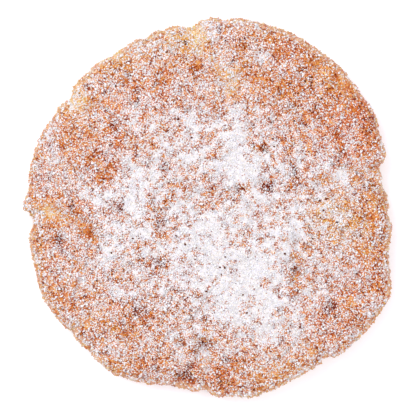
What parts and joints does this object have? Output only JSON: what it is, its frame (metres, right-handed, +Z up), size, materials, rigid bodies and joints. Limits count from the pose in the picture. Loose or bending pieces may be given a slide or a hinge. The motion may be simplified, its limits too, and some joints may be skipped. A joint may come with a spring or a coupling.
{
  "type": "ginger cookie",
  "caption": "Round, slightly domed baked ginger cookie with a cracked, pitted, crumbly top dusted with icing sugar, and a flat base.",
  "frame": {"origin": "on the base plane, under the middle of the cookie's box", "axes": "+Z up out of the sugared top, with the cookie lying flat on its base; +X to the right and +Y to the top of the picture, which looks straight down on it"},
  "size_m": [0.0738, 0.0759, 0.0107],
  "materials": {
    "crust": "matte",
    "icing_sugar": "matte"
  },
  "bodies": {
    "root": {"cookie": "crust"}
  },
  "joints": []
}
